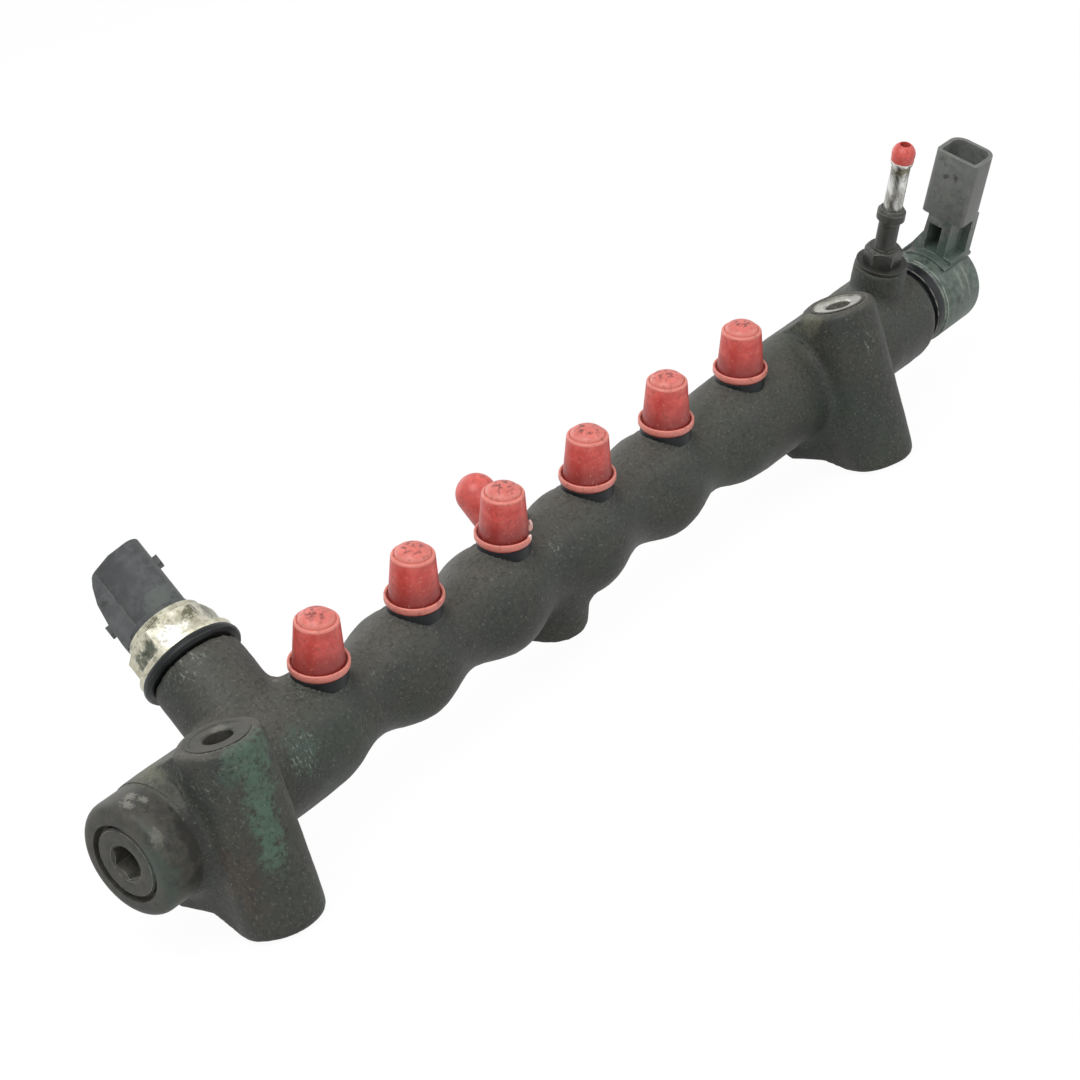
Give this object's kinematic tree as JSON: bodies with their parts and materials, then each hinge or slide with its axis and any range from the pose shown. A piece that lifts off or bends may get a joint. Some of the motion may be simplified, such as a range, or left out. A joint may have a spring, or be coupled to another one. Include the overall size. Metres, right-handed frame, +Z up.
{
  "type": "fuel rail",
  "caption": "Forged high-pressure common rail with a row of capped outlets, mounting ears, a pressure sensor, a pressure regulator and a leak-off pipe.",
  "frame": {"origin": "midway between the two mounting bolts, on the plane of the ears' feet", "axes": "+X along the rail towards the regulator, +Y from the bolts towards the rail's axis, +Z up along the bolts"},
  "size_m": [0.4326, 0.1005, 0.1035],
  "materials": {
    "forged_steel": "black phosphated forging",
    "dark_steel": "dark phosphated turned steel",
    "plated_steel": "bright zinc plated",
    "can_steel": "greenish grey zinc plated, stained",
    "red_plastic": "soft moulded polyethylene",
    "black_rubber": "matte",
    "grey_plastic": "satin moulded glass filled nylon",
    "contact_brass": "tinned contact blades",
    "washer_copper": "darkened copper"
  },
  "bodies": {
    "root": {"rail_forging": "forged_steel", "outlet_cap_1": "red_plastic", "outlet_cap_2": "red_plastic", "outlet_cap_3": "red_plastic", "outlet_cap_4": "red_plastic", "outlet_cap_5": "red_plastic", "outlet_cap_6": "red_plastic", "inlet_cap": "red_plastic", "end_plug": "dark_steel", "sensor_body": "plated_steel", "sensor_seal": "black_rubber", "sensor_plug_housing": "grey_plastic", "sensor_pins": "contact_brass", "regulator_body": "dark_steel", "regulator_seal": "black_rubber", "regulator_can": "can_steel", "regulator_tower": "grey_plastic", "regulator_pins": "contact_brass", "union_body": "dark_steel", "union_washer": "washer_copper", "leak_off_tube": "plated_steel", "tube_cap": "red_plastic"}
  },
  "joints": []
}
